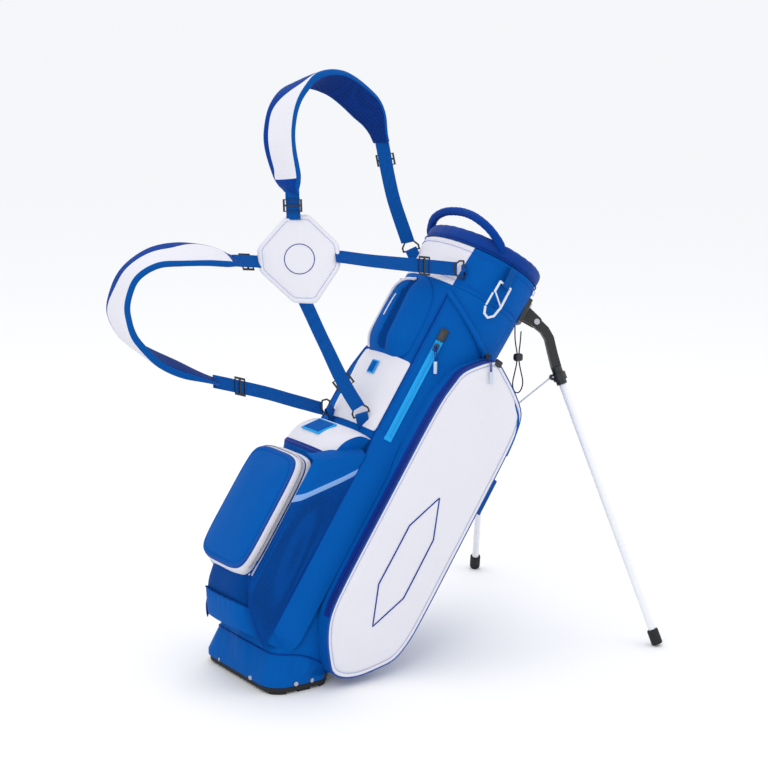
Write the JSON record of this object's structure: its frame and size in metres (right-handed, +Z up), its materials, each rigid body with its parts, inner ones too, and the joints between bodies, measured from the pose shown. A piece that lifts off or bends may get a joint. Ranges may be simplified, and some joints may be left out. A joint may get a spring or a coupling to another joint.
{
  "type": "golf stand bag",
  "caption": "Leaning golf stand bag with oval club tube, side pockets, double shoulder harness and two fold-out legs driven by a tilting base.",
  "frame": {"origin": "middle of the flat base, on the floor, with the bag leaning on its legs", "axes": "+Z up, +X the way the bag leans, towards its legs, +Y the side away from the white pocket"},
  "size_m": [0.9732, 0.5834, 1.0632],
  "materials": {
    "blue_fabric": "woven polyester",
    "white_fabric": "coated polyester",
    "mesh_fabric": "stretch mesh",
    "velour": "brushed velour",
    "dark_liner": "nylon lining",
    "webbing": "woven webbing",
    "zip_tape": "coil zip on tape",
    "black_plastic": "moulded nylon",
    "rubber": "soft rubber",
    "white_tube": "satin powder coat on aluminium",
    "steel": "satin",
    "white_metal": "gloss coat",
    "zip_metal": "cast slider, painted",
    "grip_plastic": "moulded",
    "cord": "braided cord"
  },
  "bodies": {
    "bag": {"ball_pocket": "blue_fabric", "base_hinge_pin": "steel", "bottle_pocket": "mesh_fabric", "bottom_moulding": "black_plastic", "carabiner_loop": "webbing", "carry_handle": "webbing", "club_divider": "velour", "cord_toggle": "black_plastic", "cuff_band": "blue_fabric", "cuff_rivets": "steel", "d_rings": "steel", "divider_walls": "dark_liner", "far_side_pocket": "blue_fabric", "hip_pad": "mesh_fabric", "hub_pad": "white_fabric", "hub_webbing": "webbing", "leg_bracket": "black_plastic", "leg_pivot_pins": "steel", "leg_strap": "blue_fabric", "main_zip_tape": "zip_tape", "near_side_pocket": "white_fabric", "rim_pad": "velour", "ring_tabs": "webbing", "rod_guides": "black_plastic", "shoulder_pad_lower": "white_fabric", "shoulder_pad_upper": "white_fabric", "side_zip_tape": "zip_tape", "skirt": "blue_fabric", "sleeve_pocket": "blue_fabric", "spine_panel": "white_fabric", "strap_buckles": "black_plastic", "strap_webbing": "webbing", "tie_cord": "cord", "tube_shell": "blue_fabric", "valuables_pocket": "blue_fabric"},
    "base": {"base_sole": "rubber", "base_plate": "black_plastic", "base_screws": "steel"},
    "leg_near": {"leg_yoke_near": "black_plastic", "leg_tube_near": "white_tube", "leg_foot_near": "rubber", "link_clamp_near": "black_plastic"},
    "leg_far": {"leg_yoke_far": "black_plastic", "leg_tube_far": "white_tube", "leg_foot_far": "rubber", "link_clamp_far": "black_plastic"},
    "link_near": {"link_wire_near": "steel"},
    "link_far": {"link_wire_far": "steel"},
    "push_rod": {"push_rod": "steel"},
    "side_zip": {"side_zip_slider": "zip_metal", "side_zip_pull_cord": "cord", "side_zip_pull_grip": "grip_plastic"},
    "main_zip": {"main_zip_slider": "zip_metal", "main_zip_pull_cord": "cord", "main_zip_pull_grip": "grip_plastic"},
    "carabiner": {"carabiner_body": "white_metal"},
    "carabiner_gate": {"carabiner_gate": "white_metal"}
  },
  "joints": [
    {"name": "leg_fold", "type": "hinge", "parent": "bag", "child": "leg_near", "pos_m": [0.53559, -0.07, 0.59758], "axis": [0.3572, 0.9038, -0.2356], "range_deg": [0, 47.7]},
    {"name": "leg_fold_far", "type": "hinge", "parent": "bag", "child": "leg_far", "pos_m": [0.53559, 0.07, 0.59758], "axis": [-0.3572, 0.9038, 0.2356], "range_deg": [0, 47.7]},
    {"name": "link_near_turn", "type": "hinge", "parent": "leg_near", "child": "link_near", "pos_m": [0.5534, -0.1033, 0.49685], "axis": [-0.3572, -0.9038, 0.2356], "range_deg": [0, 63.9]},
    {"name": "link_far_turn", "type": "hinge", "parent": "leg_far", "child": "link_far", "pos_m": [0.5534, 0.1033, 0.49685], "axis": [0.3572, -0.9038, -0.2356], "range_deg": [0, 63.9]},
    {"name": "rod_slide", "type": "slide", "parent": "bag", "child": "push_rod", "axis": [-0.5505, 0, -0.8348], "range_m": [0, 0.0544]},
    {"name": "base_tilt", "type": "hinge", "parent": "bag", "child": "base", "pos_m": [0.03962, 0, 0.02996], "axis": [0, 1, 0], "range_deg": [0, 33.4], "deforming": ["skirt"]},
    {"name": "side_zip_slide", "type": "slide", "parent": "bag", "child": "side_zip", "axis": [-0.5505, 0, -0.8348], "range_m": [0, 0.16]},
    {"name": "main_zip_slide", "type": "slide", "parent": "bag", "child": "main_zip", "axis": [-0.9833, 0, -0.1822], "range_m": [0, 0.045]},
    {"name": "carabiner_swing", "type": "hinge", "parent": "bag", "child": "carabiner", "pos_m": [0.41428, -0.131, 0.68536], "axis": [-0.8348, 0, 0.5505], "range_deg": [0, 100]},
    {"name": "gate_swing", "type": "hinge", "parent": "carabiner", "child": "carabiner_gate", "pos_m": [0.38572, -0.131, 0.67365], "axis": [0, -1, 0], "range_deg": [0, 30], "stiffness_Nm_per_rad": 0.02}
  ],
  "couplings": [
    {"joint": "leg_fold_far", "follows": "leg_fold", "ratio": 1},
    {"joint": "link_near_turn", "follows": "leg_fold", "ratio": 1.3395},
    {"joint": "link_far_turn", "follows": "leg_fold", "ratio": 1.3395},
    {"joint": "rod_slide", "follows": "leg_fold", "m_per_rad": 0.06533},
    {"joint": "base_tilt", "follows": "leg_fold", "ratio": 0.7002}
  ]
}
